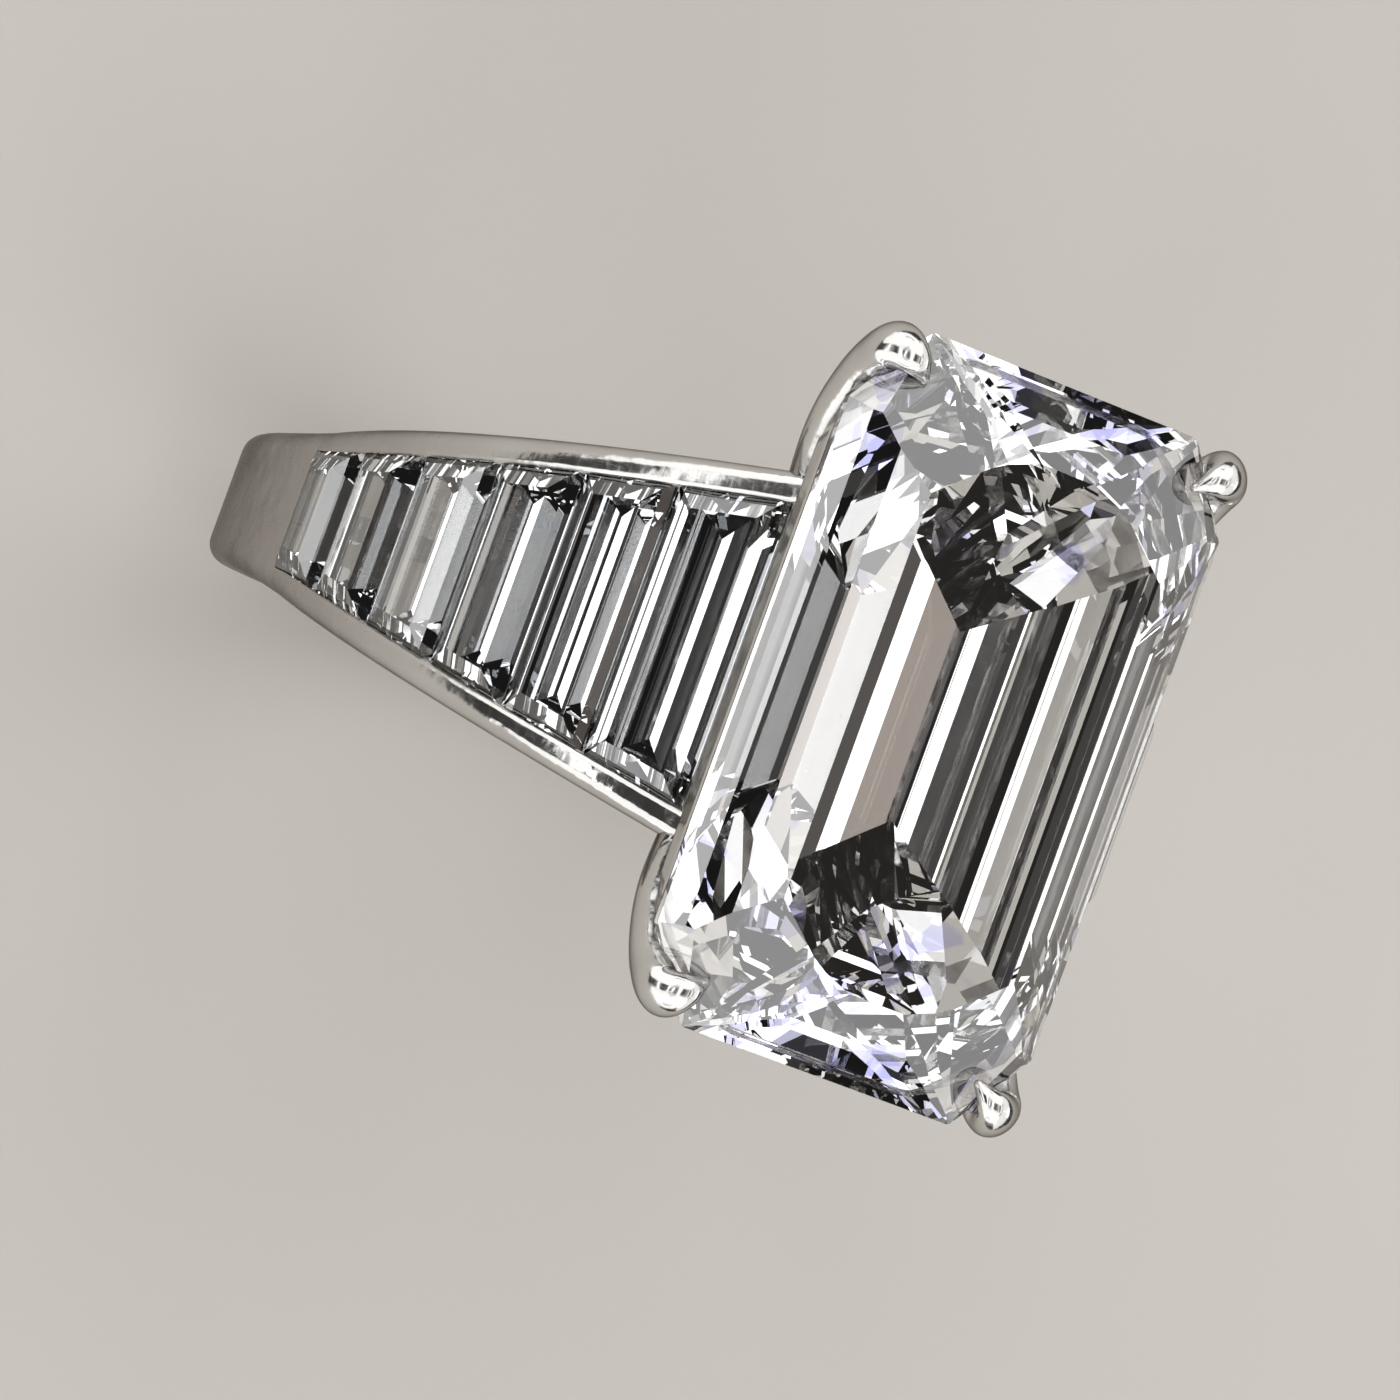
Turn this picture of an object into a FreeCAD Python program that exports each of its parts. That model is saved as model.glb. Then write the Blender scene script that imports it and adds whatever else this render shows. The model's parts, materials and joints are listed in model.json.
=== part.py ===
"""A platinum engagement ring with one elongated cut-cornered diamond in a four-claw head and channel-set
tapering baguettes along both shoulders.

Frame, in millimetres: the finger hole runs along Y with its centre at the origin, and the head points up +Z.
Angles along the band are measured in the XZ plane from the top of the ring (+Z), so the left shoulder
(-X) and the right shoulder (+X) are mirror images and share every function below.
"""

import FreeCAD, Part
import math
import os

V = FreeCAD.Vector

# ---------------------------------------------------------------- driving dimensions (mm, degrees)
FINGER_RADIUS = 8.05            # US size 5 1/2
PLATE_THICKNESS = 0.48          # the thin plates that close the top of the finger hole
FLOOR_END = 13.0                # where the channel floors meet the head's base, degrees from the top

STONE_WIDTH = 8.8               # centre stone, across the finger
STONE_LENGTH = 14.4             # centre stone, along the finger
CORNER_CUT_X = 1.25             # how far each cut corner reaches along the short side
CORNER_CUT_Y = 1.75             # and along the long side
GIRDLE_HEIGHT = 12.9            # girdle plane above the finger hole's centre
GIRDLE_HALF = 0.08              # half the girdle's thickness
KEEL_HALF = 2.45                # half the length of the keel line under the stone
CROWN_STEPS = ((45, 0.40), (40, 0.60), (35, 0.70))              # long sides: slope, run inwards
PAVILION_STEPS = ((50, 0.75), (45, 1.15), (40, 1.00), (36, 1.50))

SHOULDER_START = 82.0           # where the channel begins, degrees from the top
SEAT_RADIUS = 9.4               # girdle plane of the first baguette, from the finger hole's centre
ARC_RADIUS = 14.63              # the shoulder's seat line is one arc, tangent to the band at its start
BAGUETTE_WIDTHS = (1.58, 1.70, 1.86, 1.91, 1.96, 2.27)
BAGUETTE_GAP = 0.02
LIP_START = 1.13                # half the channel's opening at its narrow end
TAPER = 0.179                   # how much that half grows for each millimetre along the shoulder
LIP = 0.10                      # how far the channel walls fold over the baguettes' girdles
WALL = 0.62                     # thickness of a channel wall at its top edge
WALL_ABOVE_START = 0.05         # top edge of the walls above the baguettes' girdle plane: narrow end
WALL_ABOVE = 0.22               # and from here on
WALL_RISE = 4.0                 # the length over which it climbs from the one to the other
WALL_BELOW = 1.5                # bottom edge of the walls below it

SHANK_BOTTOM_RADIUS = 9.3
SHANK_HALF_WIDTH = 1.35         # at the bottom of the ring
EDGE_ROUND = 0.45               # outer edges of the shank
INNER_ROUND = 0.18              # edges of the finger hole

# ---------------------------------------------------------------- values worked out from them
PLATE_RADIUS = FINGER_RADIUS + PLATE_THICKNESS
CROWN_HEIGHT = sum(run * math.tan(math.radians(slope)) for slope, run in CROWN_STEPS)
PAVILION_DEPTH = sum(run * math.tan(math.radians(slope)) for slope, run in PAVILION_STEPS)
SHANK_TOP_RADIUS = SEAT_RADIUS + WALL_ABOVE_START
ARC_CENTRE_X = (ARC_RADIUS - SEAT_RADIUS) * math.sin(math.radians(SHOULDER_START))
ARC_CENTRE_Z = -(ARC_RADIUS - SEAT_RADIUS) * math.cos(math.radians(SHOULDER_START))
TAPER_ANGLE = math.degrees(math.atan(TAPER))
SIDES = {"left": -1, "right": 1}
BIG = 60.0                      # larger than anything in the model


# ---------------------------------------------------------------- small geometry helpers
def rounded_wire(corners):
    """A closed wire through 3-D corners given as (point, radius). A radius of 0 leaves the corner sharp."""
    ends, edges = [], []
    count = len(corners)
    for i, (point, radius) in enumerate(corners):
        before = (corners[i - 1][0] - point).normalize()
        after = (corners[(i + 1) % count][0] - point).normalize()
        half = before.getAngle(after) / 2
        reach = radius / math.tan(half)
        bisector = (before + after).normalize()
        middle = point + bisector * (radius / math.sin(half) - radius)
        ends.append((point + before * reach, middle, point + after * reach, radius))
    for i, (start, middle, end, radius) in enumerate(ends):
        if radius:
            edges.append(Part.Arc(start, middle, end).toShape())
        edges.append(Part.LineSegment(end, ends[(i + 1) % count][0]).toShape())
    return Part.Wire(edges)


def loft(wires):
    """A solid skinned over section wires."""
    solid = Part.makeLoft(wires, True)
    if solid.Volume < 0:
        solid.reverse()
    return solid


def mirrored_x(shape):
    return shape.mirror(V(0, 0, 0), V(1, 0, 0))


def mirrored_y(shape):
    return shape.mirror(V(0, 0, 0), V(0, 1, 0))


def finger_cylinder(radius):
    """A long cylinder round the finger's axis."""
    return Part.makeCylinder(radius, BIG, V(0, -BIG / 2, 0), V(0, 1, 0))


def facet(stone, azimuth, tilt, distance, height):
    """Grinds one flat facet: all that lies outside a plane is removed. The plane passes through the point at
    distance along azimuth (degrees from +X) at height, and its outward normal leans tilt degrees from +Z."""
    cutter = Part.makeBox(BIG, BIG, BIG, V(-BIG / 2, -BIG / 2, 0))
    cutter.rotate(V(0, 0, 0), V(0, 1, 0), tilt)
    cutter.rotate(V(0, 0, 0), V(0, 0, 1), azimuth)
    along = math.radians(azimuth)
    cutter.translate(V(distance * math.cos(along), distance * math.sin(along), height))
    return stone.cut(cutter)


# ---------------------------------------------------------------- the centre stone
def stepped(stone, azimuth, start, steps, sign):
    """Parallel step facets from the girdle inwards. sign is 1 for the crown and -1 for the pavilion."""
    distance, height = start, GIRDLE_HALF
    for slope, run in steps:
        tilt = slope if sign > 0 else 180 - slope
        stone = facet(stone, azimuth, tilt, distance, sign * height)
        distance -= run
        height += run * math.tan(math.radians(slope))
    return stone


def long_side_steps(stone):
    """The parallel step facets of both long sides."""
    for azimuth in (0, 180):
        stone = stepped(stone, azimuth, STONE_WIDTH / 2, CROWN_STEPS, 1)
        stone = stepped(stone, azimuth, STONE_WIDTH / 2, PAVILION_STEPS, -1)
    return stone


def outline_reach(turn, centre_y):
    """How far the girdle outline reaches from (0, centre_y), in a direction turned from the +Y end."""
    x, y = math.sin(math.radians(turn)), math.cos(math.radians(turn))
    short_corner = (STONE_WIDTH / 2 - CORNER_CUT_X) * x + (STONE_LENGTH / 2 - centre_y) * y
    long_corner = STONE_WIDTH / 2 * x + (STONE_LENGTH / 2 - CORNER_CUT_Y - centre_y) * y
    return max(short_corner, long_corner)


def level_reach(turn, share, centre_y, side_reach):
    """As outline_reach, for a level line of the stone's end. share runs from 1 at the girdle towards 0, and the
    level lines grow rounder on the way."""
    x, y = math.sin(math.radians(turn)), math.cos(math.radians(turn))
    rounded = math.hypot(side_reach * x, (STONE_LENGTH / 2 - centre_y) * y)
    keep = share**1.5
    return share * (keep * outline_reach(turn, centre_y) + (1 - keep) * rounded)


def brilliant_end(stone, sign, centre_y, side_reach, depth, bow, last_share, tiers):
    """The net of small facets on both short ends: each touches one smooth bowed form at one point. A tier is
    (share, turns from the long axis). sign is 1 for the crown and -1 for the pavilion."""
    def height(share):
        def drop(at):
            return bow * at + (1 - bow) * at * at

        return depth * (drop(1) - drop(share)) / (drop(1) - drop(last_share))

    step = 1e-4
    for share, turns in tiers:
        rise = height(share - step) - height(share)
        for turn in turns:
            reach = level_reach(turn, share, centre_y, side_reach)
            run = reach - level_reach(turn, share - step, centre_y, side_reach)
            slope = math.degrees(math.atan(rise / run))
            tilt = slope if sign > 0 else 180 - slope
            distance = reach + centre_y * math.cos(math.radians(turn))
            level = sign * (GIRDLE_HALF + height(share))
            for end in (90, 270):
                for side in (1, -1) if turn else (1,):
                    stone = facet(stone, end + side * turn, tilt, distance, level)
    return stone


def brilliant_ends(stone):
    """The crown's and the pavilion's nets. Their tiers stand half a facet out of step with each other."""
    crown = (
        (1.0, (0,)),
        (0.90, (12, 30)),
        (0.80, (0, 20, 40)),
        (0.70, (10, 30)),
        (0.58, (0, 20)),
    )
    pavilion = (
        (1.0, (0,)),
        (0.88, (10, 28)),
        (0.74, (0, 19, 38)),
        (0.60, (10, 30)),
        (0.45, (0, 20, 40)),
        (0.28, (12, 36)),
    )
    stone = brilliant_end(stone, 1, 4.3, 4.6, CROWN_HEIGHT, 0.6, 0.4, crown)
    return brilliant_end(stone, -1, KEEL_HALF, 5.2, PAVILION_DEPTH, 0.9, 0.0, pavilion)


def cut_corners(stone):
    """The four cut corners: an upright girdle facet, one crown facet and one pavilion facet each."""
    outward = math.degrees(math.atan2(CORNER_CUT_X, CORNER_CUT_Y))
    middle = V(STONE_WIDTH / 2 - CORNER_CUT_X / 2, STONE_LENGTH / 2 - CORNER_CUT_Y / 2, 0)
    distance = middle.x * math.cos(math.radians(outward)) + middle.y * math.sin(math.radians(outward))
    crown_slope, pavilion_slope = 46, 51
    for azimuth in (outward, 180 - outward, 180 + outward, -outward):
        stone = facet(stone, azimuth, 90, distance, 0)
        stone = facet(stone, azimuth, crown_slope, distance, GIRDLE_HALF)
        stone = facet(stone, azimuth, 180 - pavilion_slope, distance, -GIRDLE_HALF)
    return stone


def centre_stone():
    top = GIRDLE_HALF + CROWN_HEIGHT
    bottom = GIRDLE_HALF + PAVILION_DEPTH
    corner = V(-STONE_WIDTH / 2, -STONE_LENGTH / 2, -bottom)
    stone = Part.makeBox(STONE_WIDTH, STONE_LENGTH, top + bottom, corner)
    stone = brilliant_ends(cut_corners(long_side_steps(stone)))
    stone.translate(V(0, 0, GIRDLE_HEIGHT))
    return stone


# ---------------------------------------------------------------- the shoulders' shared frame
def shoulder_angle(distance):
    """The arc angle, in degrees from +Z, at a distance in millimetres along the seat line from its start."""
    return SHOULDER_START - math.degrees(distance / ARC_RADIUS)


def shoulder_point(angle, radius, y):
    """A point of the left shoulder, at a radius round the seat arc's centre."""
    a = math.radians(angle)
    return V(ARC_CENTRE_X - radius * math.sin(a), y, ARC_CENTRE_Z + radius * math.cos(a))


def lip_half(distance):
    return LIP_START + TAPER * distance


def baguette_places():
    """(middle of the girdle along the seat line, width) of each baguette, from the narrow end up."""
    places, at = [], 0.0
    for width in BAGUETTE_WIDTHS:
        places.append((at + width / 2, width))
        at += width + BAGUETTE_GAP
    return places


CHANNEL_LENGTH = sum(BAGUETTE_WIDTHS) + BAGUETTE_GAP * len(BAGUETTE_WIDTHS)


def to_left_shoulder(shape, distance):
    """Moves a shape built flat, with +X along the shoulder towards the head, to its place on the seat arc."""
    angle = shoulder_angle(distance)
    shape.rotate(V(0, 0, 0), V(0, 1, 0), -angle)
    shape.translate(shoulder_point(angle, ARC_RADIUS, 0))
    return shape


# ---------------------------------------------------------------- baguettes
def baguette(width, half_length, grow=0.0):
    """A step-cut baguette in its own flat frame. Its ends follow the channel's taper. grow adds all round."""
    side = width / 2 + grow
    end = (half_length + grow) * math.cos(math.radians(TAPER_ANGLE))
    top, bottom = 0.40 + grow, 1.30 + grow
    long = half_length + TAPER * side + 1
    stone = Part.makeBox(2 * side, 2 * long, top + bottom, V(-side, -long, -bottom))
    steps = ((44, 0.0, 0.03), (34, 0.20, 0.22))
    lower = ((54, 0.0, 0.03), (44, 0.26, 0.39), (36, 0.52, 0.64))
    end_steps = ((44, 0.0, 0.03), (30, 0.24, 0.25))
    end_lower = ((60, 0.0, 0.03), (48, 0.26, 0.47), (37, 0.55, 0.78))
    ends = (90 + TAPER_ANGLE, 270 - TAPER_ANGLE)
    for azimuth in ends:
        stone = facet(stone, azimuth, 90, end, 0)
    for azimuths, reach, crown, pavilion in (((0, 180), side, steps, lower), (ends, end, end_steps, end_lower)):
        for azimuth in azimuths:
            for tilt, inset, height in crown:
                stone = facet(stone, azimuth, tilt, reach - inset, height + grow)
            for tilt, inset, depth in pavilion:
                stone = facet(stone, azimuth, 180 - tilt, reach - inset, -depth - grow)
    return stone


def left_baguettes(grow=0.0):
    stones = []
    for distance, width in baguette_places():
        half_length = lip_half(distance) + LIP
        stones.append(to_left_shoulder(baguette(width, half_length, grow), distance))
    return stones


# ---------------------------------------------------------------- channel walls, bars and end plates
def wall_section(distance):
    """Section of the front wall (+Y) of the left channel, square to the seat line."""
    angle = shoulder_angle(distance)
    inner = lip_half(distance)
    share = max(0.0, min(1.0, distance / CHANNEL_LENGTH))
    outer = inner + WALL + 0.06 * share
    outer_round = EDGE_ROUND - 0.15 * share
    rise = 1 - (1 - min(1.0, distance / WALL_RISE))**2
    low = ARC_RADIUS - WALL_BELOW
    high = ARC_RADIUS + WALL_ABOVE_START + (WALL_ABOVE - WALL_ABOVE_START) * rise
    return rounded_wire([
        (shoulder_point(angle, low, inner), 0.06),
        (shoulder_point(angle, low, outer), 0.12),
        (shoulder_point(angle, high, outer), outer_round),
        (shoulder_point(angle, high, inner), 0.16),
    ])


def channel_wall(seats, claws):
    """The front wall of the left channel, notched by the baguettes that it holds."""
    overrun = 0.55
    steps = 9
    distances = [(CHANNEL_LENGTH + overrun) * i / steps for i in range(steps + 1)]
    wall = loft([wall_section(d) for d in distances])
    wall = wall.cut(finger_cylinder(PLATE_RADIUS))
    for tool in seats + claws:
        wall = wall.cut(tool)
    return max(wall.Solids, key=lambda solid: solid.Volume)


def cross_bars(wall):
    """The bars that tie the two walls of a channel together, one in the groove under each pair of baguettes."""
    bars = []
    places = baguette_places()
    for (first, width), (second, next_width) in zip(places, places[1:]):
        distance = (first + width / 2 + second - next_width / 2) / 2
        half = lip_half(distance) + 0.1
        section = [(-0.10, -0.34), (0.10, -0.34), (0.27, -0.95), (-0.27, -0.95)]
        wire = rounded_wire([(V(x, -half, z), 0.04) for x, z in section])
        bar = Part.Face(wire).extrude(V(0, 2 * half, 0))
        bar = to_left_shoulder(bar, distance)
        for tool in (wall, mirrored_y(wall), finger_cylinder(PLATE_RADIUS)):
            bar = bar.cut(tool)
        bars.append(max(bar.Solids, key=lambda solid: solid.Volume))
    return Part.makeCompound(bars)


def end_plate(wall, claws):
    """The upright plate that closes a channel next to the head."""
    thickness = 0.28
    half = lip_half(CHANNEL_LENGTH) + 0.1
    wire = rounded_wire([
        (V(0, -half, -1.25), 0.08),
        (V(thickness, -half, -1.25), 0.08),
        (V(thickness, -half, 0.12), 0.10),
        (V(0, -half, 0.12), 0.06),
    ])
    plate = Part.Face(wire).extrude(V(0, 2 * half, 0))
    plate = to_left_shoulder(plate, CHANNEL_LENGTH)
    for tool in [wall, mirrored_y(wall)] + claws:
        plate = plate.cut(tool)
    return max(plate.Solids, key=lambda solid: solid.Volume)


# ---------------------------------------------------------------- the band
def band_point(angle, radius, y):
    a = math.radians(angle)
    return V(-radius * math.sin(a), y, radius * math.cos(a))


def shank_half_width(angle):
    """Half the shank's width: it carries on the channel's taper and settles to its width at the bottom."""
    from_joint = math.radians(min(angle, 360 - angle) - SHOULDER_START) * SHANK_TOP_RADIUS
    extra = LIP_START + WALL - SHANK_HALF_WIDTH
    return SHANK_HALF_WIDTH + extra * math.exp(-from_joint * TAPER / extra)


def shank_section(angle):
    turn = math.pi * (min(angle, 360 - angle) - SHOULDER_START) / (180 - SHOULDER_START)
    swell = (1 + math.cos(turn)) / 2
    outer = SHANK_BOTTOM_RADIUS + (SHANK_TOP_RADIUS - SHANK_BOTTOM_RADIUS) * swell
    half = shank_half_width(angle)
    inner = FINGER_RADIUS - 0.5
    return rounded_wire([
        (band_point(angle, inner, -half), 0),
        (band_point(angle, outer, -half), EDGE_ROUND),
        (band_point(angle, outer, half), EDGE_ROUND),
        (band_point(angle, inner, half), 0),
    ])


def rounded_bore(shape, start_and_end):
    """Opens the finger hole through a shape and rounds the hole's two long edges."""
    shape = shape.cut(finger_cylinder(FINGER_RADIUS))

    def on_hole(edge):
        points = edge.discretize(7)
        radii = [math.hypot(p.x, p.z) for p in points]
        angles = [abs(math.degrees(math.atan2(p.x, p.z))) for p in points[1:-1]]
        crosses_end = all(abs(a - start_and_end) < 0.05 for a in angles)
        return max(radii) - FINGER_RADIUS < 1e-3 and not crosses_end and edge.Length > 3

    edges = [e for e in shape.Edges if on_hole(e)]
    return shape.makeFillet(INNER_ROUND, edges)


def shank():
    """The plain lower part of the band, from one channel's narrow end round the bottom to the other's."""
    steps = 20
    span = 360 - 2 * SHOULDER_START
    body = loft([shank_section(SHOULDER_START + span * i / steps) for i in range(steps + 1)])
    return rounded_bore(body, SHOULDER_START)


def plate_half_width(angle):
    """Half the width of the inner plates: as wide as the channel over it, up to its wide part under the head."""
    along = math.radians(SHOULDER_START - abs(angle)) * SEAT_RADIUS
    widest = 3.5
    flare = widest - LIP_START - WALL
    return LIP_START + WALL + flare * math.tanh(along * TAPER / flare)


def window(y, width, length):
    """A tool that cuts a round-cornered window, built flat and reaching down from just under the stones."""
    corners = [
        (-width / 2, y - length / 2),
        (width / 2, y - length / 2),
        (width / 2, y + length / 2),
        (-width / 2, y + length / 2),
    ]
    wire = rounded_wire([(V(px, py, -5), 0.12) for px, py in corners])
    return Part.Face(wire).extrude(V(0, 0, 4.5))


def whole_plate():
    """The thin band that closes the top of the finger hole, before it is divided. Two windows under each
    baguette, either side of a spine along the middle, let light through."""
    steps = 16

    def section(angle):
        half = plate_half_width(angle)
        return rounded_wire([
            (band_point(angle, FINGER_RADIUS - 0.5, -half), 0),
            (band_point(angle, PLATE_RADIUS, -half), 0.12),
            (band_point(angle, PLATE_RADIUS, half), 0.12),
            (band_point(angle, FINGER_RADIUS - 0.5, half), 0),
        ])

    angles = [SHOULDER_START - 2 * SHOULDER_START * i / steps for i in range(steps + 1)]
    plate = loft([section(a) for a in angles])
    plate = rounded_bore(plate, SHOULDER_START)
    spine = 0.5
    for distance, width in baguette_places():
        length = lip_half(distance) - 0.45 - spine / 2
        opening = window((spine + length) / 2, 0.42 * width, length)
        for tool in (opening, mirrored_y(opening)):
            placed = to_left_shoulder(tool, distance)
            plate = plate.cut(placed).cut(mirrored_x(placed))
    return plate


def sector(start, end):
    """A long wedge of the ring between two angles of the band."""
    corners = [V(0, -BIG / 2, 0), band_point(start, BIG, -BIG / 2), band_point(end, BIG, -BIG / 2)]
    return Part.Face(Part.makePolygon(corners + corners[:1])).extrude(V(0, BIG, 0))


def inner_plates():
    """{node: shape} of the floor under each channel and the base under the head, which meet end to end."""
    whole = whole_plate()
    floor = whole.common(sector(FLOOR_END, SHOULDER_START + 1))
    return {
        "channel_floor_left": floor,
        "channel_floor_right": mirrored_x(floor),
        "head_base": whole.common(sector(-FLOOR_END, FLOOR_END)),
    }


# ---------------------------------------------------------------- the head
def gallery(half_x, half_y, thickness, low, high, corner):
    """A rounded rectangular frame round the stone, between two heights."""
    def frame(x, y, cut, z):
        corners = [
            (x, y - cut), (x - cut * 0.85, y), (cut * 0.85 - x, y), (-x, y - cut),
            (-x, cut - y), (cut * 0.85 - x, -y), (x - cut * 0.85, -y), (x, cut - y),
        ]
        return rounded_wire([(V(px, py, z), 0.25) for px, py in corners])

    outer = Part.Face(frame(half_x, half_y, corner, low)).extrude(V(0, 0, high - low))
    inner = Part.Face(frame(half_x - thickness, half_y - thickness, corner - 0.4 * thickness, low))
    body = outer.cut(inner.extrude(V(0, 0, high - low)))
    rims = [e for e in body.Edges if e.BoundBox.ZLength < 1e-6 and e.Length > 0.02]
    return body.makeFillet(0.14, rims)


def spline(points):
    """A smooth curve whose parameter counts the points: 0 at the first, 1 at the second, and so on."""
    curve = Part.BSplineCurve()
    curve.interpolate(Points=points, Parameters=[float(i) for i in range(len(points))])
    return curve


def claw_section(point, tangent, half_width, half_depth):
    """An oval section square to the claw, with its width along the stone's cut corner."""
    corner = V(-CORNER_CUT_X, CORNER_CUT_Y, 0).normalize()
    depth = tangent.cross(corner).normalize()
    width = depth.cross(tangent)
    around = [math.pi * i / 5 for i in range(10)]
    points = [point + width * (half_width * math.cos(a)) + depth * (half_depth * math.sin(a)) for a in around]
    outline = Part.BSplineCurve()
    outline.interpolate(points, PeriodicFlag=True)
    return Part.Wire(outline.toShape())


def claw(stone):
    """The claw at the +X +Y corner: a wire that leaves the lower gallery, passes the channel wall's end, swings
    out to the girdle's cut corner and bends over the crown to a pointed tip."""
    # (X, Y, height above the girdle plane, half width, half depth)
    stations = (
        (2.45, 2.85, -4.10, 0.42, 0.40),
        (3.02, 3.38, -3.00, 0.43, 0.40),
        (3.52, 4.05, -2.12, 0.45, 0.40),
        (3.84, 4.90, -1.45, 0.49, 0.41),
        (3.95, 5.70, -0.85, 0.55, 0.44),
        (3.95, 6.37, -0.25, 0.60, 0.46),
        (3.92, 6.68, 0.30, 0.55, 0.43),
        (3.62, 6.54, 0.66, 0.37, 0.30),
        (3.22, 6.25, 0.57, 0.10, 0.10),
    )
    route = spline([V(x, y, GIRDLE_HEIGHT + z) for x, y, z, _, _ in stations])
    size = spline([V(half_width, half_depth, 0) for _, _, _, half_width, half_depth in stations])
    per_station = 2
    sections = []
    for i in range(per_station * (len(stations) - 1) + 1):
        at = i / per_station
        half_width, half_depth = size.value(at).x, size.value(at).y
        tangent = V(*route.tangent(at)[0]).normalize()
        sections.append(claw_section(route.value(at), tangent, half_width, half_depth))
    body = loft(sections).cut(stone).cut(finger_cylinder(PLATE_RADIUS))
    return max(body.Solids, key=lambda solid: solid.Volume)


def head(stone):
    """{node: shape} of the four claws and the two gallery frames."""
    front_right = claw(stone)
    back_right = mirrored_y(front_right)
    claws = {
        "claw_front_right": front_right,
        "claw_back_right": back_right,
        "claw_front_left": mirrored_x(front_right),
        "claw_back_left": mirrored_x(back_right),
    }
    upper = gallery(4.05, 6.78, 0.60, GIRDLE_HEIGHT - 1.35, GIRDLE_HEIGHT - 0.78, 1.75).cut(stone)
    lower = gallery(2.90, 3.50, 0.75, 7.90, 9.20, 1.1)
    lower = lower.cut(finger_cylinder(PLATE_RADIUS)).cut(stone)
    for piece in claws.values():
        upper = upper.cut(piece)
        lower = lower.cut(piece)
    return {**claws, "gallery_upper": upper, "gallery_lower": lower}


# ---------------------------------------------------------------- the whole ring
def ring():
    """{node name: shape} of every piece."""
    stone = centre_stone()
    nodes = {"centre_diamond": stone, "shank": shank(), **inner_plates()}
    nodes.update(head(stone))
    claws = [shape for name, shape in nodes.items() if name.startswith("claw_")]
    galleries = [nodes["gallery_upper"], nodes["gallery_lower"]]
    wall = channel_wall(left_baguettes(grow=0.012), claws + galleries)
    for side, sign in SIDES.items():
        def place(shape):
            return shape if sign < 0 else mirrored_x(shape)

        nodes[f"channel_wall_{side}_front"] = place(wall)
        nodes[f"channel_wall_{side}_back"] = place(mirrored_y(wall))
        nodes[f"channel_bars_{side}"] = place(cross_bars(wall))
        nodes[f"channel_end_plate_{side}"] = place(end_plate(wall, claws))
        for number, stone_shape in enumerate(left_baguettes(), start=1):
            nodes[f"baguette_{side}_{number}"] = place(stone_shape)
    return nodes


def main():
    os.makedirs("parts", exist_ok=True)
    for name, shape in ring().items():
        solids = shape.Solids
        for solid in solids:
            assert solid.isValid() and solid.Volume > 0, name
        kept = solids[0] if len(solids) == 1 else Part.makeCompound(solids)
        kept.exportStep(os.path.join("parts", f"{name}.step"))
        box = kept.BoundBox
        print(f"{name}: {len(solids)} solid(s), {kept.Volume:.3f} mm3, z {box.ZMin:.2f} to {box.ZMax:.2f}")


main()
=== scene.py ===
import json
import math

import bmesh
import bpy
from mathutils import Matrix, Vector


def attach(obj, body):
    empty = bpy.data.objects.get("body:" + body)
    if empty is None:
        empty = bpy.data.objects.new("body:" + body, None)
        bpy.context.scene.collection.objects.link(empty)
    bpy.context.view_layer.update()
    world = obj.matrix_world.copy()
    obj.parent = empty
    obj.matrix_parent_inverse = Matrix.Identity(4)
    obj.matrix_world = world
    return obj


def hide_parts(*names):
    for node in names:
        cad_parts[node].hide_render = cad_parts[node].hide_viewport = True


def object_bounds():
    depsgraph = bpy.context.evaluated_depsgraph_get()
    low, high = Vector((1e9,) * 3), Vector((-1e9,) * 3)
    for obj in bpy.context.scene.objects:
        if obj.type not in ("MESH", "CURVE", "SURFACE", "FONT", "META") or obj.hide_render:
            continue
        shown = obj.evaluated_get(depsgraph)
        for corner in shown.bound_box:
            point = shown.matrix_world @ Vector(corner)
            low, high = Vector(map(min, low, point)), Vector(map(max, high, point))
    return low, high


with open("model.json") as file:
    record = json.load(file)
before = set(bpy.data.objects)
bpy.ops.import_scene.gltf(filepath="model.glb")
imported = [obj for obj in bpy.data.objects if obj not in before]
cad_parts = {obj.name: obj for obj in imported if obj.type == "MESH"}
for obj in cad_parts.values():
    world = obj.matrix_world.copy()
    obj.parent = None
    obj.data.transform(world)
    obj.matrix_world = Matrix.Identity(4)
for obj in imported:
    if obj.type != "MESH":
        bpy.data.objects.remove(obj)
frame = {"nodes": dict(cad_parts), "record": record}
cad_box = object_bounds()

MM = 0.001
NODES = frame["nodes"]

# ---------------------------------------------------------------- dimensions shared with the CAD
# Millimetres and degrees.
FINGER_RADIUS = 8.05
PLATE_RADIUS = 8.53
STONE_CENTRE = Vector((0, 0, 12.9))
CORNER_DIRECTION = Vector((-1.25, 1.75, 0)).normalized()
SHOULDER_START = 82.0
SEAT_RADIUS = 9.4
ARC_RADIUS = 14.63
BAGUETTE_WIDTHS = (1.58, 1.70, 1.86, 1.91, 1.96, 2.27)
BAGUETTE_GAP = 0.02
CHANNEL_LENGTH = sum(BAGUETTE_WIDTHS) + BAGUETTE_GAP * len(BAGUETTE_WIDTHS)
LIP_START = 1.13
TAPER = 0.179
WALL = 0.62
WALL_ABOVE_START = 0.05
WALL_ABOVE = 0.22
WALL_RISE = 4.0
WALL_BELOW = 1.5
SHANK_TOP_RADIUS = SEAT_RADIUS + WALL_ABOVE_START
SHANK_BOTTOM_RADIUS = 9.3
SHANK_HALF_WIDTH = 1.35
ARC_CENTRE_X = (ARC_RADIUS - SEAT_RADIUS) * math.sin(math.radians(SHOULDER_START))
ARC_CENTRE_Z = -(ARC_RADIUS - SEAT_RADIUS) * math.cos(math.radians(SHOULDER_START))

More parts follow.
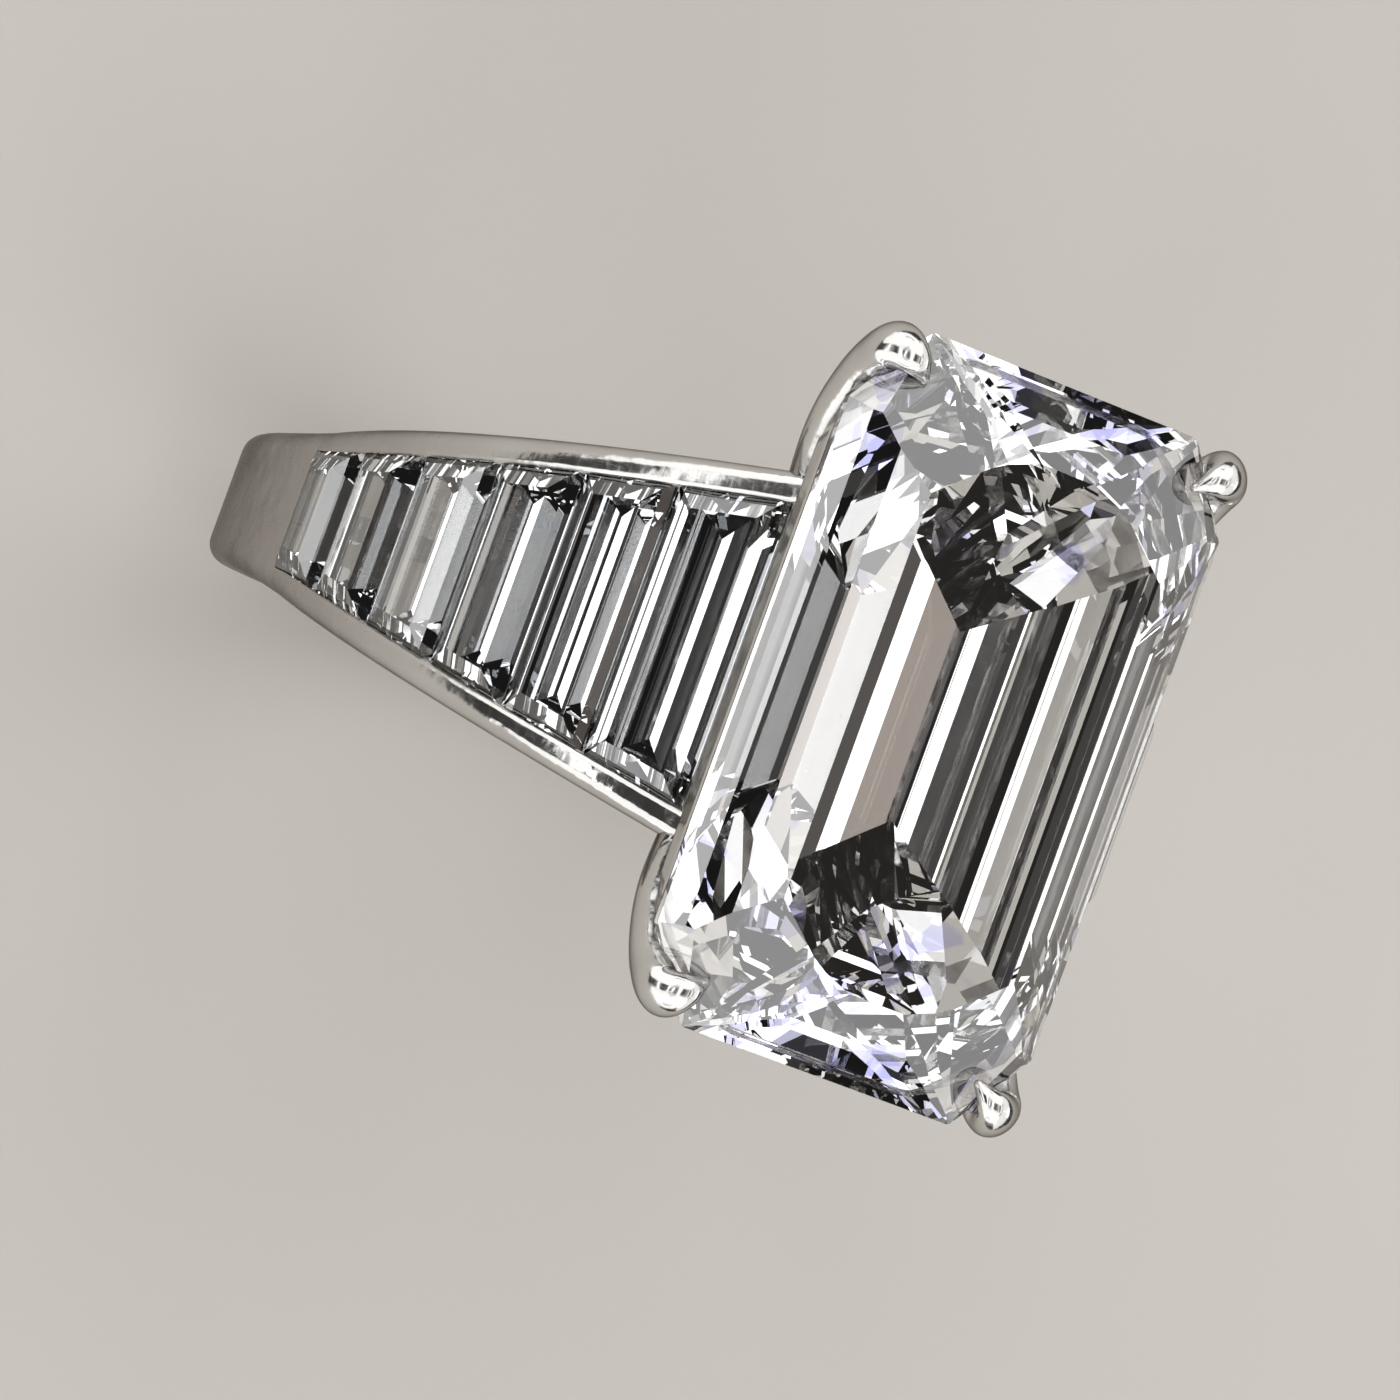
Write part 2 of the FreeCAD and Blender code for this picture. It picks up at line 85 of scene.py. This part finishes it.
# ---------------------------------------------------------------- viewpoint
VIEW_LEAN = 26.5          # degrees from straight above, towards the left shoulder at -X
VIEW_NOD = 2              # degrees towards -Y
VIEW_ROLL = 20            # degrees that the picture is turned
VIEW_DISTANCE = 250.0     # mm from the stone
VIEW_RIGHT = 4.686        # mm from the middle of the picture to the stone, rightwards and upwards
VIEW_UP = -0.588
LENS = 327.9              # mm of focal length, on a sensor 36 mm wide
SENSOR = 36


# ---------------------------------------------------------------- node helpers
def new_material(name):
    material = bpy.data.materials.new(name)
    material.use_nodes = True
    return material, material.node_tree.nodes, material.node_tree.links


def object_coordinates(nodes, links, scale):
    """Object coordinates, in metres, stretched by scale per axis."""
    coords = nodes.new("ShaderNodeTexCoord")
    mapping = nodes.new("ShaderNodeMapping")
    mapping.inputs["Scale"].default_value = scale
    links.new(coords.outputs["Object"], mapping.inputs["Vector"])
    return mapping.outputs["Vector"]


def noise(nodes, links, vector, scale, detail=4.0, roughness=0.55):
    texture = nodes.new("ShaderNodeTexNoise")
    texture.inputs["Scale"].default_value = scale
    texture.inputs["Detail"].default_value = detail
    texture.inputs["Roughness"].default_value = roughness
    links.new(vector, texture.inputs["Vector"])
    return texture.outputs["Fac"]


def remap(nodes, links, value, low, high, to_low, to_high):
    node = nodes.new("ShaderNodeMapRange")
    node.inputs["From Min"].default_value = low
    node.inputs["From Max"].default_value = high
    node.inputs["To Min"].default_value = to_low
    node.inputs["To Max"].default_value = to_high
    links.new(value, node.inputs["Value"])
    return node.outputs["Result"]


def mix_colours(nodes, links, factor, first, second):
    node = nodes.new("ShaderNodeMix")
    node.data_type = "RGBA"
    node.inputs["A"].default_value = (*first, 1)
    node.inputs["B"].default_value = (*second, 1)
    links.new(factor, node.inputs["Factor"])
    return node.outputs["Result"]


def bump(nodes, links, height, strength, distance, under=None):
    """A bump in metres, laid over another normal where one is given."""
    node = nodes.new("ShaderNodeBump")
    node.inputs["Strength"].default_value = strength
    node.inputs["Distance"].default_value = distance
    links.new(height, node.inputs["Height"])
    if under:
        links.new(under, node.inputs["Normal"])
    return node.outputs["Normal"]


def calculate(nodes, links, operation, first, second):
    """One Math node on a socket and another socket or a number."""
    node = nodes.new("ShaderNodeMath")
    node.operation = operation
    links.new(first, node.inputs[0])
    if isinstance(second, float):
        node.inputs[1].default_value = second
    else:
        links.new(second, node.inputs[1])
    return node.outputs[0]


# ---------------------------------------------------------------- materials
# Noise and cell scales count per metre, and lengths are in metres.
METAL_EDGE_TINT = (0.30, 0.29, 0.28, 1)
TONE_SCALE = 420
UNEVEN_SCALE = 2000
HAIRLINE_SCALE = 5200
CROSS_HAIRLINE_SCALE = 4100
HAIRLINE_STRETCH = (1, 7, 1)
CROSS_HAIRLINE_STRETCH = (5, 1, 5)
GLOSS_RANGE = (0.18, 0.42)
UNEVEN_DEPTH = 0.00008
SCRATCH_DEPTH = 0.00002
WORN_FROM = 0.0078
WORN_FULLY = 0.0094
DIAMOND_IOR = 2.417
# Painted spectral flashes: the stones' colour is tinted in scattered cells, standing in for dispersed light.
PAINTED_FIRE_CELL_SCALE = 1100
PAINTED_FIRE_CELLS_PICKED = (0.84, 0.88)
PAINTED_FIRE_FADE = 0.0008
HAZE_SCALE = 700
HAZE_RANGE = (0.45, 0.75)


def from_middle(nodes, links, vector, axis):
    """The distance, in metres, either side of the ring's middle along one of its axes."""
    place = nodes.new("ShaderNodeSeparateXYZ")
    links.new(vector, place.inputs["Vector"])
    return calculate(nodes, links, "ABSOLUTE", place.outputs[axis], 0.0)


def platinum(name, finish, worn=None):
    """Platinum: tone and gloss vary softly over millimetres, the hand-finished surface isn't quite flat, and
    fine hairline scratches lie on top. A second finish takes over towards the far ends of the shoulders."""
    material, nodes, links = new_material(name)
    shader = nodes["Principled BSDF"]
    shader.inputs["Metallic"].default_value = 1.0
    shader.inputs["Specular Tint"].default_value = METAL_EDGE_TINT
    plain = object_coordinates(nodes, links, (1, 1, 1))
    wide = noise(nodes, links, plain, TONE_SCALE, detail=3)
    uneven = noise(nodes, links, plain, UNEVEN_SCALE, detail=2, roughness=0.4)
    stretched = object_coordinates(nodes, links, HAIRLINE_STRETCH)
    hairlines = noise(nodes, links, stretched, HAIRLINE_SCALE, detail=2, roughness=0.4)
    stretched_across = object_coordinates(nodes, links, CROSS_HAIRLINE_STRETCH)
    cross = noise(nodes, links, stretched_across, CROSS_HAIRLINE_SCALE, detail=2, roughness=0.4)
    scratches = calculate(nodes, links, "MAXIMUM", hairlines, cross)
    gloss = calculate(nodes, links, "MULTIPLY", wide, scratches)

    def tone_and_gloss(of):
        tone = mix_colours(nodes, links, wide, of["dark"], of["light"])
        return tone, remap(nodes, links, gloss, *GLOSS_RANGE, *of["roughness"])

    colour, roughness = tone_and_gloss(finish)
    if worn:
        worn_colour, worn_roughness = tone_and_gloss(worn)
        outwards = from_middle(nodes, links, plain, "X")
        share = remap(nodes, links, outwards, WORN_FROM, WORN_FULLY, 0.0, 1.0)
        tones = nodes.new("ShaderNodeMix")
        tones.data_type = "RGBA"
        links.new(share, tones.inputs["Factor"])
        links.new(colour, tones.inputs["A"])
        links.new(worn_colour, tones.inputs["B"])
        colour = tones.outputs["Result"]
        glosses = nodes.new("ShaderNodeMix")
        links.new(share, glosses.inputs["Factor"])
        links.new(roughness, glosses.inputs["A"])
        links.new(worn_roughness, glosses.inputs["B"])
        roughness = glosses.outputs["Result"]
    links.new(colour, shader.inputs["Base Color"])
    links.new(roughness, shader.inputs["Roughness"])
    hand_finish = bump(nodes, links, uneven, finish["uneven"], UNEVEN_DEPTH)
    scratched = bump(nodes, links, scratches, finish["scratch"], SCRATCH_DEPTH, hand_finish)
    links.new(scratched, shader.inputs["Normal"])
    return material


def diamond(name, tint, haze, painted_fire, painted_fire_from):
    """Diamond: clear, with hardly visible polishing haze in patches. fire is the tint of painted spectral
    flashes:
    scattered faint flashes painted into the stone's colour in place of dispersed light, which start at a
    distance painted_fire_from (metres) either side of the stone's middle along Y."""
    material, nodes, links = new_material(name)
    shader = nodes["Principled BSDF"]
    shader.inputs["IOR"].default_value = DIAMOND_IOR
    shader.inputs["Transmission Weight"].default_value = 1.0
    plain = object_coordinates(nodes, links, (1, 1, 1))
    # Painted spectral flashes: picked cells towards the ends take the flash tint in the stone's colour.
    cells = nodes.new("ShaderNodeTexVoronoi")
    cells.inputs["Scale"].default_value = PAINTED_FIRE_CELL_SCALE
    links.new(plain, cells.inputs["Vector"])
    pick = nodes.new("ShaderNodeSeparateColor")
    links.new(cells.outputs["Color"], pick.inputs["Color"])
    painted_flashes = remap(nodes, links, pick.outputs["Red"], *PAINTED_FIRE_CELLS_PICKED, 0.0, 1.0)
    towards_ends = from_middle(nodes, links, plain, "Y")
    at_ends = remap(nodes, links, towards_ends, painted_fire_from, painted_fire_from + PAINTED_FIRE_FADE, 0.0, 1.0)
    share = calculate(nodes, links, "MULTIPLY", painted_flashes, at_ends)
    links.new(mix_colours(nodes, links, share, tint, painted_fire), shader.inputs["Base Color"])
    patches = noise(nodes, links, plain, HAZE_SCALE, detail=3)
    roughness = remap(nodes, links, patches, *HAZE_RANGE, 0.0, haze)
    links.new(roughness, shader.inputs["Roughness"])
    return material


POLISH = {
    "dark": (0.58, 0.57, 0.55),
    "light": (0.72, 0.71, 0.69),
    "roughness": (0.09, 0.22),
    "uneven": 0.3,
    "scratch": 0.05,
}
SATIN = {
    "dark": (0.40, 0.38, 0.36),
    "light": (0.52, 0.50, 0.475),
    "roughness": (0.26, 0.42),
    "uneven": 0.4,
    "scratch": 0.30,
}
POLISHED_PLATINUM = platinum("platinum_polished", POLISH)
RAIL_PLATINUM = platinum("platinum_rail", POLISH, worn=SATIN)
SATIN_PLATINUM = platinum("platinum_satin", SATIN)
# The last two colours of each stone are painted spectral flashes in its colour, in place of dispersed light.
DIAMOND = diamond("diamond_centre", tint=(1.0, 1.0, 1.0), haze=0.006, painted_fire=(0.58, 0.58, 1.0), painted_fire_from=0.003)
BAGUETTE = diamond(
    "diamond_baguette", tint=(0.96, 0.98, 1.0), haze=0.02, painted_fire=(0.88, 0.93, 1.0), painted_fire_from=0.0006
)
BY_SLOT = {
    "platinum_satin": SATIN_PLATINUM,
    "platinum_polished": POLISHED_PLATINUM,
    "diamond_centre": DIAMOND,
    "diamond_baguette": BAGUETTE,
}
for part in frame["record"]["subparts"]:
    mesh = NODES[part["node"]].data
    mesh.materials.clear()
    mesh.materials.append(BY_SLOT[part["material_slot"]])


# ---------------------------------------------------------------- mesh helpers
STONE_CLEARANCE = 0.02    # mm that the finer metal stands off the stones that it holds


def rounded_outline(corners, steps):
    """Points of a closed 2-D outline whose corners (x, y, radius) are turned in a number of steps."""
    points = []
    count = len(corners)
    for i, (x, y, radius) in enumerate(corners):
        here = Vector((x, y))
        before = (Vector(corners[i - 1][:2]) - here).normalized()
        after = (Vector(corners[(i + 1) % count][:2]) - here).normalized()
        half = before.angle(after) / 2
        centre = here + (before + after).normalized() * (radius / math.sin(half))
        start = here + before * (radius / math.tan(half)) - centre
        end = here + after * (radius / math.tan(half)) - centre
        turn = start.angle_signed(end)
        for k in range(steps + 1):
            points.append(centre + Matrix.Rotation(-turn * k / steps, 2) @ start)
    return points


def skin(name, rings):
    """A closed mesh object over rings of points given in millimetres."""
    bm = bmesh.new()
    loops = [[bm.verts.new(Vector(p) * MM) for p in ring] for ring in rings]
    count = len(loops[0])
    for low, high in zip(loops, loops[1:]):
        for i in range(count):
            bm.faces.new((low[i], low[(i + 1) % count], high[(i + 1) % count], high[i]))
    bm.faces.new(list(reversed(loops[0])))
    bm.faces.new(loops[-1])
    bmesh.ops.recalc_face_normals(bm, faces=bm.faces)
    mesh = bpy.data.meshes.new(name)
    bm.to_mesh(mesh)
    bm.free()
    obj = bpy.data.objects.new(name, mesh)
    bpy.context.scene.collection.objects.link(obj)
    return obj


def grown(node, amount):
    """A cutter: a copy of a convex CAD stone, pushed out by amount (mm) all round."""
    bm = bmesh.new()
    bm.from_mesh(NODES[node].data)
    bmesh.ops.remove_doubles(bm, verts=bm.verts, dist=1e-7)
    centre = sum((v.co for v in bm.verts), Vector()) / len(bm.verts)
    for v in bm.verts:
        v.co += (v.co - centre).normalized() * amount * MM
    mesh = bpy.data.meshes.new("cutter")
    bm.to_mesh(mesh)
    bm.free()
    cutter = bpy.data.objects.new("cutter", mesh)
    bpy.context.scene.collection.objects.link(cutter)
    return cutter


def carve(obj, cutters):
    """Cuts other solids out of obj for good."""
    for cutter in cutters:
        modifier = obj.modifiers.new("carve", "BOOLEAN")
        modifier.operation = "DIFFERENCE"
        modifier.solver = "EXACT"
        modifier.object = cutter
    graph = bpy.context.evaluated_depsgraph_get()
    carved = bpy.data.meshes.new_from_object(obj.evaluated_get(graph))
    obj.modifiers.clear()
    obj.data = carved


def soften(obj, degrees):
    """Smooth shading, with edges sharper than an angle kept crisp."""
    bm = bmesh.new()
    bm.from_mesh(obj.data)
    for face in bm.faces:
        face.smooth = True
    for edge in bm.edges:
        edge.smooth = len(edge.link_faces) == 2 and edge.calc_face_angle(0) < math.radians(degrees)
    bm.to_mesh(obj.data)
    bm.free()


def finish_piece(obj, material, node, degrees=40):
    soften(obj, degrees)
    obj.data.materials.clear()
    obj.data.materials.append(material)
    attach(obj, "root")
    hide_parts(node)


def mirror_copies(piece, left_and_right, new_name, node_name, material):
    """Puts four copies in a piece's place, one in each quarter of the ring. left_and_right gives the sides in
    order, with 1 for the side that the piece was made on. Both names have {side} and {face} filled in."""
    for side, sx in left_and_right:
        for face, sy in (("front", 1), ("back", -1)):
            name = new_name.format(side=side, face=face)
            copy = bpy.data.objects.new(name, piece.data.copy())
            bpy.context.scene.collection.objects.link(copy)
            copy.data.transform(Matrix.Diagonal((sx, sy, 1, 1)))
            if sx * sy < 0:
                copy.data.flip_normals()
            node = node_name.format(side=side, face=face)
            finish_piece(copy, material, node)
    bpy.data.objects.remove(piece)


# ---------------------------------------------------------------- the shank
def band_point(angle, radius, y):
    a = math.radians(angle)
    return (-radius * math.sin(a), y, radius * math.cos(a))


def shank_half_width(angle):
    from_joint = math.radians(min(angle, 360 - angle) - SHOULDER_START) * SHANK_TOP_RADIUS
    extra = LIP_START + WALL - SHANK_HALF_WIDTH
    return SHANK_HALF_WIDTH + extra * math.exp(-from_joint * TAPER / extra)


def make_shank():
    """The band below the shoulders: its inner edges are lightly broken and its outer ones well rounded."""
    inner_round, outer_round, corner_steps = 0.18, 0.45, 8
    rings = []
    count = 150
    for i in range(count + 1):
        angle = SHOULDER_START + (360 - 2 * SHOULDER_START) * i / count
        turn = math.pi * (min(angle, 360 - angle) - SHOULDER_START) / (180 - SHOULDER_START)
        swell = (1 + math.cos(turn)) / 2
        outer = SHANK_BOTTOM_RADIUS + (SHANK_TOP_RADIUS - SHANK_BOTTOM_RADIUS) * swell
        half = shank_half_width(angle)
        corners = [
            (FINGER_RADIUS, -half, inner_round),
            (outer, -half, outer_round),
            (outer, half, outer_round),
            (FINGER_RADIUS, half, inner_round),
        ]
        outline = rounded_outline(corners, corner_steps)
        rings.append([band_point(angle, p.x, p.y) for p in outline])
    shank = skin("shank_band", rings)
    finish_piece(shank, SATIN_PLATINUM, "shank")


# ---------------------------------------------------------------- channel walls
def shoulder_point(distance, radius, y):
    """A point of the left shoulder, at a radius round the seat arc's centre."""
    a = math.radians(SHOULDER_START) - distance / ARC_RADIUS
    return Vector((ARC_CENTRE_X - radius * math.sin(a), y, ARC_CENTRE_Z + radius * math.cos(a)))


def wall_floor(distance):
    """The radius at which a channel wall ends below: on the plates round the finger hole, or above them."""
    a = math.radians(SHOULDER_START) - distance / ARC_RADIUS
    along = ARC_CENTRE_Z * math.cos(a) - ARC_CENTRE_X * math.sin(a)
    squared = ARC_CENTRE_X**2 + ARC_CENTRE_Z**2
    on_plate = -along + math.sqrt(along**2 - squared + PLATE_RADIUS**2)
    return max(ARC_RADIUS - WALL_BELOW, on_plate)


def make_walls(cutters):
    """The four channel walls, which thicken and sharpen towards the head and run on a little under it."""
    overrun, thickening, corner_steps = 0.55, 0.06, 7
    foot_inner_round, foot_outer_round, top_inner_round = 0.04, 0.08, 0.16
    top_outer_round, sharpening = 0.45, 0.15
    count = 90
    rings = []
    for i in range(count + 1):
        distance = (CHANNEL_LENGTH + overrun) * i / count
        inner = LIP_START + TAPER * distance
        share = min(1.0, distance / CHANNEL_LENGTH)
        outer = inner + WALL + thickening * share
        rise = 1 - (1 - min(1.0, distance / WALL_RISE))**2
        low = wall_floor(distance)
        high = ARC_RADIUS + WALL_ABOVE_START + (WALL_ABOVE - WALL_ABOVE_START) * rise
        corners = [
            (low, inner, foot_inner_round),
            (low, outer, foot_outer_round),
            (high, outer, top_outer_round - sharpening * share),
            (high, inner, top_inner_round),
        ]
        outline = rounded_outline(corners, corner_steps)
        rings.append([shoulder_point(distance, p.x, p.y) for p in outline])
    wall = skin("channel_wall", rings)
    carve(wall, cutters)
    sides = (("left", 1), ("right", -1))
    mirror_copies(wall, sides, "rail_{side}_{face}", "channel_wall_{side}_{face}", RAIL_PLATINUM)


# ---------------------------------------------------------------- claws
CLAW_STATIONS = (
    # X, Y, height above the girdle plane, half width, half depth
    (2.45, 2.85, -4.10, 0.42, 0.40),
    (3.02, 3.38, -3.00, 0.43, 0.40),
    (3.52, 4.05, -2.12, 0.45, 0.40),
    (3.84, 4.90, -1.45, 0.49, 0.41),
    (3.95, 5.70, -0.85, 0.55, 0.44),
    (3.95, 6.37, -0.25, 0.60, 0.46),
    (3.92, 6.68, 0.30, 0.55, 0.43),
    (3.62, 6.54, 0.66, 0.37, 0.30),
    (3.22, 6.25, 0.57, 0.10, 0.10),
)


def along_stations(stations, at):
    """Catmull-Rom interpolation of every column of a table of stations."""
    last = len(stations) - 1
    i = min(int(at), last - 1)
    t = at - i
    p = [stations[max(0, min(last, i + k))] for k in (-1, 0, 1, 2)]
    return [
        0.5 * (2 * b + (c - a) * t + (2 * a - 5 * b + 4 * c - d) * t * t + (3 * b - a - 3 * c + d) * t**3)
        for a, b, c, d in zip(*p)
    ]


def make_claws(cutter):
    """The four claws, swept along their stations and closed over the stone by a rounded tip."""
    per_station, around, cap = 7, 32, 5
    look_aside = 0.02     # how far along the stations the direction is taken
    last = len(CLAW_STATIONS) - 1
    rings = []

    def ring(at, shrink=1.0, beyond=0.0):
        x, y, z, half_width, half_depth = along_stations(CLAW_STATIONS, at)
        ahead = Vector(along_stations(CLAW_STATIONS, min(at + look_aside, last))[:3])
        behind = Vector(along_stations(CLAW_STATIONS, max(at - look_aside, 0))[:3])
        tangent = (ahead - behind).normalized()
        depth = tangent.cross(CORNER_DIRECTION).normalized()
        width = depth.cross(tangent)
        centre = STONE_CENTRE + Vector((x, y, z)) + tangent * beyond * half_depth
        points = []
        for k in range(around):
            a = 2 * math.pi * k / around
            sideways = width * (shrink * half_width * math.cos(a))
            points.append(centre + sideways + depth * (shrink * half_depth * math.sin(a)))
        return points

    for i in range(last * per_station + 1):
        rings.append(ring(i / per_station))
    for k in range(1, cap):
        a = math.pi / 2 * k / cap
        rings.append(ring(last, math.cos(a), math.sin(a)))
    claw = skin("claw", rings)
    carve(claw, [cutter])
    sides = (("right", 1), ("left", -1))
    mirror_copies(claw, sides, "prong_{face}_{side}", "claw_{face}_{side}", POLISHED_PLATINUM)


make_shank()
stone_cutter = grown("centre_diamond", STONE_CLEARANCE)
baguettes = range(1, len(BAGUETTE_WIDTHS) + 1)
baguette_cutters = [grown(f"baguette_left_{n}", STONE_CLEARANCE) for n in baguettes]
make_claws(stone_cutter)
make_walls(baguette_cutters)
for cutter in [stone_cutter, *baguette_cutters]:
    bpy.data.objects.remove(cutter)


# ---------------------------------------------------------------- floor and camera
def make_floor():
    """A plain floor. It ends where its light starts to fall off, and the backdrop carries on its tone."""
    z = cad_box[0].z
    size = 0.40
    darker, lighter, patch_scale = (0.45, 0.425, 0.39), (0.50, 0.475, 0.44), 30
    mesh = bpy.data.meshes.new("floor")
    corners = [(-size, -size, z), (size, -size, z), (size, size, z), (-size, size, z)]
    mesh.from_pydata(corners, [], [(0, 1, 2, 3)])
    floor = bpy.data.objects.new("floor", mesh)
    bpy.context.scene.collection.objects.link(floor)
    material, nodes, links = new_material("floor")
    shader = nodes["Principled BSDF"]
    soft = noise(nodes, links, object_coordinates(nodes, links, (1, 1, 1)), patch_scale, detail=4)
    links.new(mix_colours(nodes, links, soft, darker, lighter), shader.inputs["Base Color"])
    shader.inputs["Roughness"].default_value = 0.9
    mesh.materials.append(material)


def view_axes():
    """The directions that the camera and the lights share: across the stone, along it, and back from it to
    the camera."""
    lean, nod = math.radians(VIEW_LEAN), math.radians(VIEW_NOD)
    back = Vector((-math.sin(lean) * math.cos(nod), -math.sin(nod), math.cos(lean) * math.cos(nod)))
    across = Vector((math.cos(lean), 0, math.sin(lean)))
    return across, back.cross(across), back


def make_camera(axes):
    across, along, back = axes
    roll = math.radians(VIEW_ROLL)
    right = math.cos(roll) * across + math.sin(roll) * along
    up = back.cross(right)
    target = STONE_CENTRE - right * VIEW_RIGHT - up * VIEW_UP
    camera_data = bpy.data.cameras.new("camera")
    camera_data.sensor_width = SENSOR
    camera_data.lens = LENS
    camera_data.clip_start = 0.01
    camera_data.clip_end = 10
    camera = bpy.data.objects.new("camera", camera_data)
    bpy.context.scene.collection.objects.link(camera)
    turn = Matrix((right, up, back)).transposed()
    camera.matrix_world = Matrix.Translation((target + back * VIEW_DISTANCE) * MM) @ turn.to_4x4()
    bpy.context.scene.camera = camera


# ---------------------------------------------------------------- lights
# Angles in degrees, lengths in metres.
LIGHT_DISTANCE = 0.5
STRIP_HEIGHT = 0.26
ROOM_COLOUR = (0.80, 0.78, 0.76, 1)
ROOM_STRENGTH = 0.06
BACKDROP_COLOUR = (0.60, 0.57, 0.53, 1)
WHITE = (1.0, 1.0, 1.0)
WARM = (1.0, 0.86, 0.76)

# The strips stand level with the stone and make the stripes in its long facets. Between 49 and 57 degrees,
# where the flat top facet mirrors a light as a veil, there is only a dim fill.
STRIPS = (
    # sideways, width, radiance and colour
    (-40, 0.06, 2.4, WHITE),
    (-15, 0.05, 2.4, WHITE),
    (-3, 0.05, 2.2, WHITE),
    (15, 0.07, 2.4, WHITE),
    (38, 0.06, 0.4, WARM),
    (47, 0.03, 1.8, WHITE),
    (53, 0.07, 0.06, WARM),
    (62, 0.08, 1.5, WHITE),
    (98, 0.06, 2.0, WHITE),
)

# Each panel has a twin on the other side, and between them they light the stone's two brilliant-cut ends.
PANELS = (
    # sideways, upwards, width, height and radiance
    (-35, 38, 0.50, 0.42, 1.5),
    (35, 38, 0.50, 0.42, 1.5),
    (0, 38, 0.10, 0.42, 0.9),
    (85, 30, 0.30, 0.60, 1.2),
    (0, 72, 0.50, 0.14, 1.5),
)


def softbox(axes, name, sideways, upwards, width, height, radiance, colour):
    """An area light that faces the stone. Two angles take it off the camera's direction: sideways, square to
    the stone's long sides, and upwards, along them."""
    across, along, back = axes
    side, rise = math.radians(sideways), math.radians(upwards)
    level = back * math.cos(side) + across * math.sin(side)
    direction = level * math.cos(rise) + along * math.sin(rise)
    data = bpy.data.lights.new(name, "AREA")
    data.shape = "RECTANGLE"
    data.size = width
    data.size_y = height
    data.energy = radiance * math.pi * width * height
    data.color = colour
    lamp = bpy.data.objects.new(name, data)
    lamp.visible_camera = False
    bpy.context.scene.collection.objects.link(lamp)
    flat = along.cross(direction).normalized()
    turn = Matrix((flat, direction.cross(flat), direction)).transposed()
    lamp.matrix_world = Matrix.Translation(STONE_CENTRE * MM + direction * LIGHT_DISTANCE) @ turn.to_4x4()


def make_world():
    """A dim room, which the stones need for their dark facets. The camera itself sees a pale backdrop."""
    world = bpy.data.worlds.new("studio")
    world.use_nodes = True
    nodes, links = world.node_tree.nodes, world.node_tree.links
    room = nodes["Background"]
    room.inputs["Color"].default_value = ROOM_COLOUR
    room.inputs["Strength"].default_value = ROOM_STRENGTH
    backdrop = nodes.new("ShaderNodeBackground")
    backdrop.inputs["Color"].default_value = BACKDROP_COLOUR
    path = nodes.new("ShaderNodeLightPath")
    mix = nodes.new("ShaderNodeMixShader")
    links.new(path.outputs["Is Camera Ray"], mix.inputs["Fac"])
    links.new(room.outputs["Background"], mix.inputs[1])
    links.new(backdrop.outputs["Background"], mix.inputs[2])
    links.new(mix.outputs["Shader"], nodes["World Output"].inputs["Surface"])
    bpy.context.scene.world = world


def make_lights(axes):
    for number, (sideways, width, radiance, colour) in enumerate(STRIPS, start=1):
        softbox(axes, f"strip_{number}", sideways, 0, width, STRIP_HEIGHT, radiance, colour)
    for number, (sideways, upwards, width, height, radiance) in enumerate(PANELS, start=1):
        softbox(axes, f"panel_{number}_near", sideways, upwards, width, height, radiance, WHITE)
        softbox(axes, f"panel_{number}_far", sideways, -upwards, width, height, radiance, WHITE)


make_floor()
view = view_axes()
make_camera(view)
make_world()
make_lights(view)

scene = bpy.context.scene
scene.view_settings.view_transform = "Standard"
scene.cycles.max_bounces = 24
scene.cycles.transmission_bounces = 20
scene.cycles.glossy_bounces = 8
